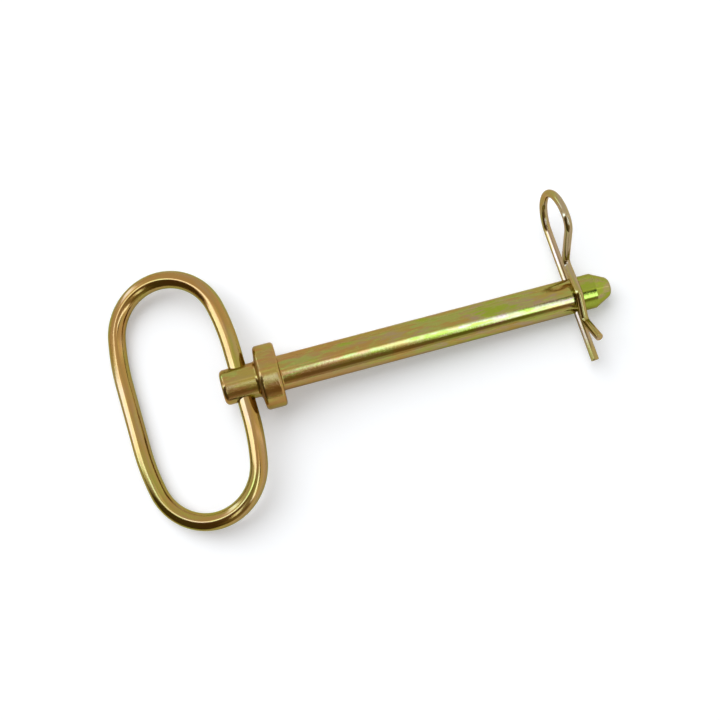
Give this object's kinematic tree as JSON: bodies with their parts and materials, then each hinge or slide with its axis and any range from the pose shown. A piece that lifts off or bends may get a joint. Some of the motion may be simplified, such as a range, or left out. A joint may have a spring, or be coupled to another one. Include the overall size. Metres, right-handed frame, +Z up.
{
  "type": "hitch pin",
  "caption": "Headed hitch pin with a collar, a swinging oval wire handle and a spring R-clip through its nose.",
  "frame": {"origin": "on the pin's axis, in the plane of the collar's bearing face", "axes": "+X along the pin towards its nose, +Y along the two cross holes towards the clip's loop, +Z up as the pin lies on a flat surface"},
  "size_m": [0.2717, 0.1427, 0.0569],
  "materials": {
    "plated_pin": "turned steel, yellow passivated zinc plating",
    "plated_wire": "drawn wire, yellow passivated zinc plating",
    "plated_spring_wire": "spring wire, pale yellow passivated zinc plating"
  },
  "bodies": {
    "pin": {"pin": "plated_pin"},
    "handle": {"handle": "plated_wire"},
    "clip": {"r_clip": "plated_spring_wire"}
  },
  "joints": [
    {"name": "handle_swing", "type": "hinge", "parent": "pin", "child": "handle", "pos_m": [-0.0211, 0, 0], "axis": [0, 1, 0], "range_deg": [-151.5, 181.5]},
    {"name": "clip_pull", "type": "slide", "parent": "pin", "child": "clip", "axis": [-0.0576, 0.9983, 0], "range_m": [0, 0.05], "deforming": ["r_clip"]}
  ]
}
